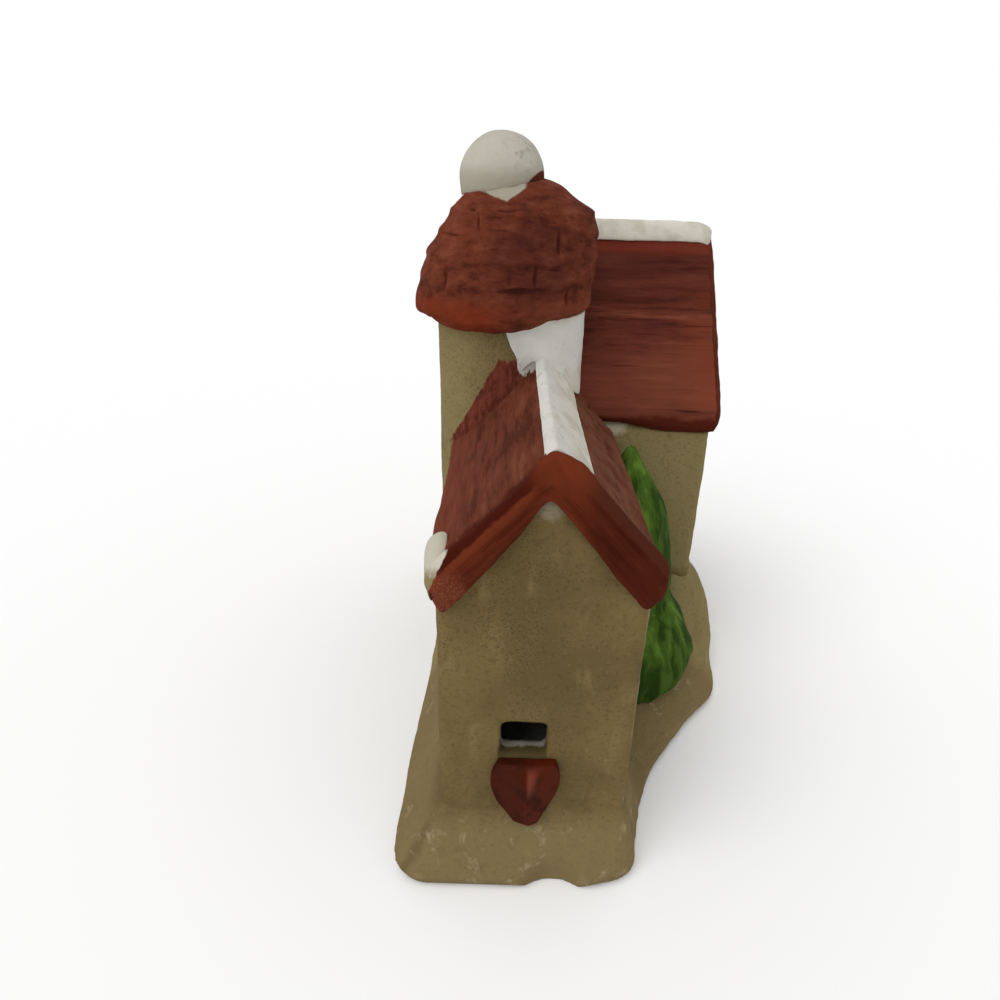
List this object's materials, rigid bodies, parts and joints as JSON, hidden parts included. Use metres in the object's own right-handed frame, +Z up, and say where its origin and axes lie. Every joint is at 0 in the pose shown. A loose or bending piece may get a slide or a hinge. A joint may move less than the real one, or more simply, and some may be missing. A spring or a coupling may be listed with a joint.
{
  "type": "ceramic christmas village house",
  "caption": "Hollow hand-painted ceramic village house with a gabled front wing, a cross-gabled main house, a round shingled tower, snow on the ridges and a fir tree in the nook",
  "frame": {"origin": "plan centre of the whole house, on the ground it stands on", "axes": "+Z up; the front wing's gable end looks along -Y; +X is the tree's side, to the right when looking at that gable"},
  "size_m": [0.09, 0.1428, 0.149],
  "materials": {
    "tan_foot": "matt painted bisque",
    "tan_wall": "matt painted bisque",
    "red_roof": "matt brushed paint on bisque",
    "orange_red_board": "matt brushed paint on bisque",
    "red_shingle": "matt brushed paint on bisque",
    "snow_white": "matt white paint on bisque",
    "fir_green": "matt brushed paint on bisque",
    "box_red": "satin paint on bisque"
  },
  "bodies": {
    "root": {"flared_foot": "tan_foot", "front_wing_walls": "tan_wall", "main_house_walls": "tan_wall", "tower_wall": "tan_wall", "front_wing_roof": "red_roof", "main_house_roof": "red_roof", "front_bargeboard": "orange_red_board", "right_bargeboard": "orange_red_board", "left_bargeboard": "orange_red_board", "tower_roof": "red_shingle", "snow_ball": "snow_white", "front_ridge_snow": "snow_white", "main_ridge_snow": "snow_white", "tower_snow": "snow_white", "eave_snow": "snow_white", "corner_drift": "tan_foot", "fir_tree": "fir_green", "tower_door": "box_red", "gable_window_box": "box_red", "east_window_box": "box_red", "west_window_box": "box_red"}
  },
  "joints": []
}
